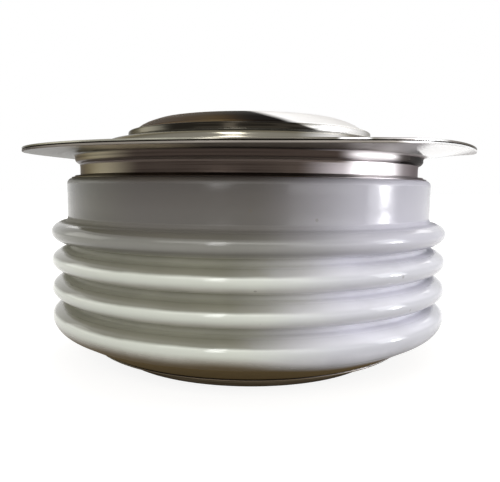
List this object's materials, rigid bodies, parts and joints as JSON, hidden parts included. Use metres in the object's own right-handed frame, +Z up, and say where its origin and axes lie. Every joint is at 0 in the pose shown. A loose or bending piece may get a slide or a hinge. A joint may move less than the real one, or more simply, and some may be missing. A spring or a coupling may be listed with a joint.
{
  "type": "disc thyristor",
  "caption": "Press-pack disc thyristor: ribbed white ceramic ring between two copper pole pieces, with a wide thin metal flange and flat gate and auxiliary tabs at the back.",
  "frame": {"origin": "centre of the lower (anode) contact face, at the mouth of its centring hole", "axes": "+Z up along the device's axis towards the cathode face; +Y towards the gate terminal at the back; -Y faces the viewer of the picture"},
  "size_m": [0.056, 0.064, 0.0298],
  "materials": {
    "glazed_alumina": "gloss",
    "nickel_plate": "polished",
    "worn_nickel": "satin",
    "silicon": "polished",
    "silicone_rubber": "matte",
    "silver": "satin",
    "molybdenum": "satin",
    "white_plastic": "matte",
    "spring_steel": "satin",
    "tinned_brass": "satin"
  },
  "bodies": {
    "root": {"ceramic_housing": "glazed_alumina", "weld_ring": "nickel_plate", "lid_flange": "nickel_plate", "cathode_pole_piece": "worn_nickel", "anode_pole_piece": "worn_nickel", "anode_flange": "worn_nickel", "silicon_wafer": "silicon", "wafer_edge_seal": "silicone_rubber", "anode_silver_foil": "silver", "cathode_silver_foil": "silver", "anode_molybdenum_disc": "molybdenum", "cathode_molybdenum_disc": "molybdenum", "locating_ring": "white_plastic", "gate_contact_pin": "silver", "gate_spring": "spring_steel", "gate_insulator_cup": "white_plastic", "gate_guide_washer": "white_plastic", "gate_lead": "silver", "gate_lead_sleeve": "white_plastic", "gate_tube": "nickel_plate", "gate_tube_collar": "nickel_plate", "gate_terminal": "tinned_brass", "auxiliary_cathode_terminal": "tinned_brass"}
  },
  "joints": []
}
